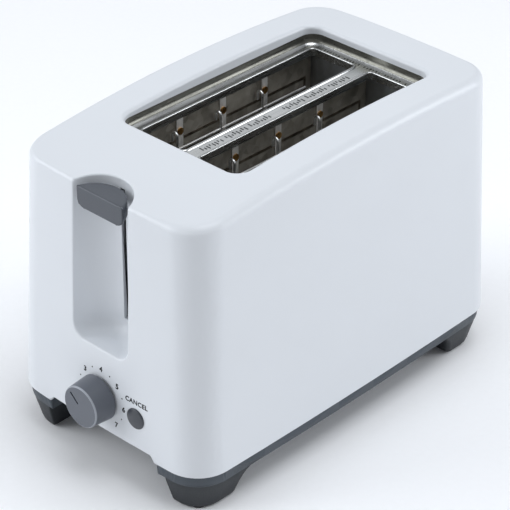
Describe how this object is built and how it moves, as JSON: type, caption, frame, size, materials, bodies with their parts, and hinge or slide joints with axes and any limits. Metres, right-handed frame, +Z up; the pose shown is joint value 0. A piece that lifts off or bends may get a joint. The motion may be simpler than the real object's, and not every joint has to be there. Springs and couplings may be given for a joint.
{
  "type": "pop-up toaster",
  "caption": "Pop-up toaster with two long bread slots, a sliding lever, a browning dial, a cancel button and a crumb tray.",
  "frame": {"origin": "centre of the assembly's footprint at floor level, under the foot pads", "axes": "+Z up; the lever, dial and cancel button face -Y; the bread slots run along Y"},
  "size_m": [0.152, 0.2768, 0.1848],
  "materials": {
    "white_plastic": "satin moulded",
    "dark_plastic": "fine moulded grain",
    "chrome_plate": "pressed and plated",
    "zinc_steel": "zinc coated",
    "mica": "layered mica sheet",
    "ribbon": "flat resistance ribbon",
    "clip_steel": "plain strip",
    "brass": "rivet head",
    "wire_steel": "drawn wire",
    "screw_steel": "zinc coated",
    "rubber": "matt",
    "circuit": "board laminate",
    "coil_wire": "enamelled winding"
  },
  "bodies": {
    "housing": {"outer_shell": "white_plastic", "base_pan": "dark_plastic", "top_plate": "chrome_plate", "end_plate_front": "zinc_steel", "end_plate_rear": "zinc_steel", "reflector_right": "zinc_steel", "reflector_left": "zinc_steel", "chassis_plate": "zinc_steel", "heater_board_right": "mica", "heater_board_left": "mica", "heater_board_centre": "mica", "heater_ribbon_right": "ribbon", "heater_ribbon_left": "ribbon", "heater_ribbon_centre": "ribbon", "clip_strips_right": "clip_steel", "clip_strips_left": "clip_steel", "clip_strips_centre": "clip_steel", "eyelets_right": "brass", "eyelets_left": "brass", "eyelets_centre": "brass", "wire_guard_right_outer": "wire_steel", "wire_guard_right_inner": "wire_steel", "wire_guard_left_inner": "wire_steel", "wire_guard_left_outer": "wire_steel", "chassis_screws": "screw_steel", "guide_rod_left": "wire_steel", "guide_rod_right": "wire_steel", "rod_bracket": "zinc_steel", "carriage_spring": "wire_steel", "circuit_board": "circuit", "browning_control": "dark_plastic", "cancel_switch": "dark_plastic", "magnet_bracket": "zinc_steel", "magnet_core": "clip_steel", "magnet_coil": "coil_wire", "contact_block": "dark_plastic", "contact_blade_front": "brass", "contact_blade_rear": "brass", "terminal_block": "white_plastic", "cord_gland": "dark_plastic", "foot_pad_1": "rubber", "foot_pad_2": "rubber", "foot_pad_3": "rubber", "foot_pad_4": "rubber"},
    "carriage": {"carriage_bracket": "zinc_steel", "bread_rack_right": "wire_steel", "bread_rack_left": "wire_steel", "lever_stem": "zinc_steel", "lever_knob": "dark_plastic", "armature": "clip_steel"},
    "dial": {"browning_dial": "dark_plastic", "dial_shaft": "clip_steel"},
    "cancel": {"cancel_button": "dark_plastic"},
    "tray": {"crumb_tray": "zinc_steel", "tray_grip": "dark_plastic"}
  },
  "joints": [
    {"name": "lever_slide", "type": "slide", "parent": "housing", "child": "carriage", "axis": [0, 0, -1], "range_m": [0, 0.072], "stiffness_N_per_m": 60, "springref_m": -0.05, "deforming": ["carriage_spring"]},
    {"name": "dial_turn", "type": "hinge", "parent": "housing", "child": "dial", "pos_m": [0, -0.12, 0.0502], "axis": [0, -1, 0], "range_deg": [-186.8, 93.4]},
    {"name": "cancel_press", "type": "slide", "parent": "housing", "child": "cancel", "axis": [0, 1, 0], "range_m": [0, 0.0025], "stiffness_N_per_m": 600, "springref_m": -0.001},
    {"name": "tray_pull", "type": "slide", "parent": "housing", "child": "tray", "axis": [0, 1, 0], "range_m": [0, 0.15]}
  ]
}
